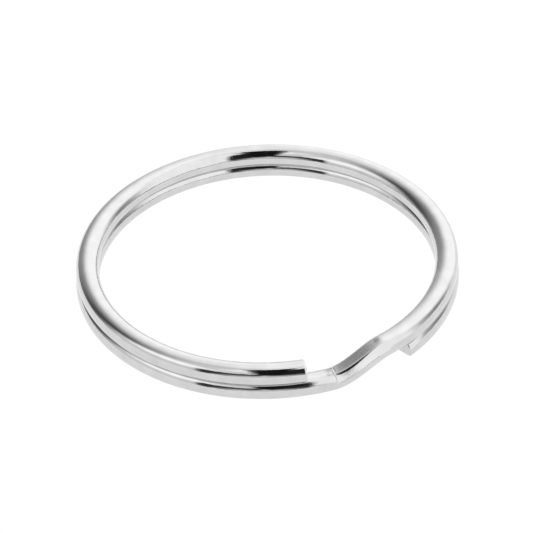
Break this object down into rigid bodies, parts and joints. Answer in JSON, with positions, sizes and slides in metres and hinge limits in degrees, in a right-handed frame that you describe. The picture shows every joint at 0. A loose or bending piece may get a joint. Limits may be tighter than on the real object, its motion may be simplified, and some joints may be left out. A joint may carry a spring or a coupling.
{
  "type": "split key ring",
  "caption": "Flat split ring: one spring wire coiled into two stacked turns that touch, joined by a short pressed crossover, with a square-cut end on each turn.",
  "frame": {"origin": "centre of the ring on the surface it lies on, at the underside of the lower turn", "axes": "+Z along the ring's axis, out of the upper turn; +X to the right with the crossover at the front; -Y is the front, just right of which the crossover sits"},
  "size_m": [0.03, 0.03, 0.0025],
  "materials": {
    "polished_nickel": "bright nickel plate on drawn spring-steel wire, fine draw lines along the wire, light handling scratches",
    "pressed_nickel": "the same plate where the press tool flattened the wire: satin flats with a die mark",
    "cut_face": "sheared wire end, matt, thinly plated"
  },
  "bodies": {
    "crossover": {"crossover": "pressed_nickel", "upper_turn_root": "polished_nickel", "lower_turn_root": "polished_nickel"},
    "upper_right": {"upper_turn_right": "polished_nickel"},
    "upper_back_right": {"upper_turn_back_right": "polished_nickel"},
    "upper_back_left": {"upper_turn_back_left": "polished_nickel"},
    "upper_left": {"upper_turn_left": "polished_nickel"},
    "upper_tip": {"upper_turn_tip": "polished_nickel"},
    "lower_front_left": {"lower_turn_front_left": "polished_nickel"},
    "lower_left": {"lower_turn_left": "polished_nickel"},
    "lower_back": {"lower_turn_back": "polished_nickel"},
    "lower_back_right": {"lower_turn_back_right": "polished_nickel"},
    "lower_tip": {"lower_turn_tip": "polished_nickel"}
  },
  "joints": [
    {"name": "upper_flex_right", "type": "hinge", "parent": "crossover", "child": "upper_right", "pos_m": [0.01322, -0.00476, 0.00186], "axis": [0.3387, 0.9409, 0], "range_deg": [0, 0.75]},
    {"name": "upper_flex_back_right", "type": "hinge", "parent": "upper_right", "child": "upper_back_right", "pos_m": [0.01073, 0.00907, 0.00186], "axis": [-0.6455, 0.7638, 0], "range_deg": [0, 2.25]},
    {"name": "upper_turn_open", "type": "hinge", "parent": "upper_back_right", "child": "upper_back_left", "pos_m": [-0.00249, 0.01383, 0.00186], "axis": [-0.9842, -0.1771, 0], "range_deg": [0, 3], "stiffness_Nm_per_rad": 4.7},
    {"name": "upper_flex_left", "type": "hinge", "parent": "upper_back_left", "child": "upper_left", "pos_m": [-0.01322, 0.00476, 0.00186], "axis": [-0.3387, -0.9409, 0], "range_deg": [0, 2.25]},
    {"name": "upper_flex_tip", "type": "hinge", "parent": "upper_left", "child": "upper_tip", "pos_m": [-0.01073, -0.00907, 0.00186], "axis": [0.6455, -0.7638, 0], "range_deg": [0, 0.75]},
    {"name": "lower_flex_front_left", "type": "hinge", "parent": "crossover", "child": "lower_front_left", "pos_m": [-0.00402, -0.01357, 0.0006], "axis": [-0.9588, 0.284, 0], "range_deg": [0, 0.75]},
    {"name": "lower_flex_left", "type": "hinge", "parent": "lower_front_left", "child": "lower_left", "pos_m": [-0.01376, -0.0033, 0.0006], "axis": [-0.2334, 0.9724, 0], "range_deg": [0, 2.25]},
    {"name": "lower_turn_open", "type": "hinge", "parent": "lower_left", "child": "lower_back", "pos_m": [-0.00974, 0.01026, 0.0006], "axis": [0.7254, 0.6884, 0], "range_deg": [0, 3], "stiffness_Nm_per_rad": 4.7},
    {"name": "lower_flex_back_right", "type": "hinge", "parent": "lower_back", "child": "lower_back_right", "pos_m": [0.00402, 0.01357, 0.0006], "axis": [0.9588, -0.284, 0], "range_deg": [0, 2.25]},
    {"name": "lower_flex_tip", "type": "hinge", "parent": "lower_back_right", "child": "lower_tip", "pos_m": [0.01376, 0.0033, 0.0006], "axis": [0.2334, -0.9724, 0], "range_deg": [0, 0.75]}
  ],
  "couplings": [
    {"joint": "upper_flex_right", "follows": "upper_turn_open", "ratio": 0.25},
    {"joint": "upper_flex_back_right", "follows": "upper_turn_open", "ratio": 0.75},
    {"joint": "upper_flex_left", "follows": "upper_turn_open", "ratio": 0.75},
    {"joint": "upper_flex_tip", "follows": "upper_turn_open", "ratio": 0.25},
    {"joint": "lower_flex_front_left", "follows": "lower_turn_open", "ratio": 0.25},
    {"joint": "lower_flex_left", "follows": "lower_turn_open", "ratio": 0.75},
    {"joint": "lower_flex_back_right", "follows": "lower_turn_open", "ratio": 0.75},
    {"joint": "lower_flex_tip", "follows": "lower_turn_open", "ratio": 0.25}
  ]
}
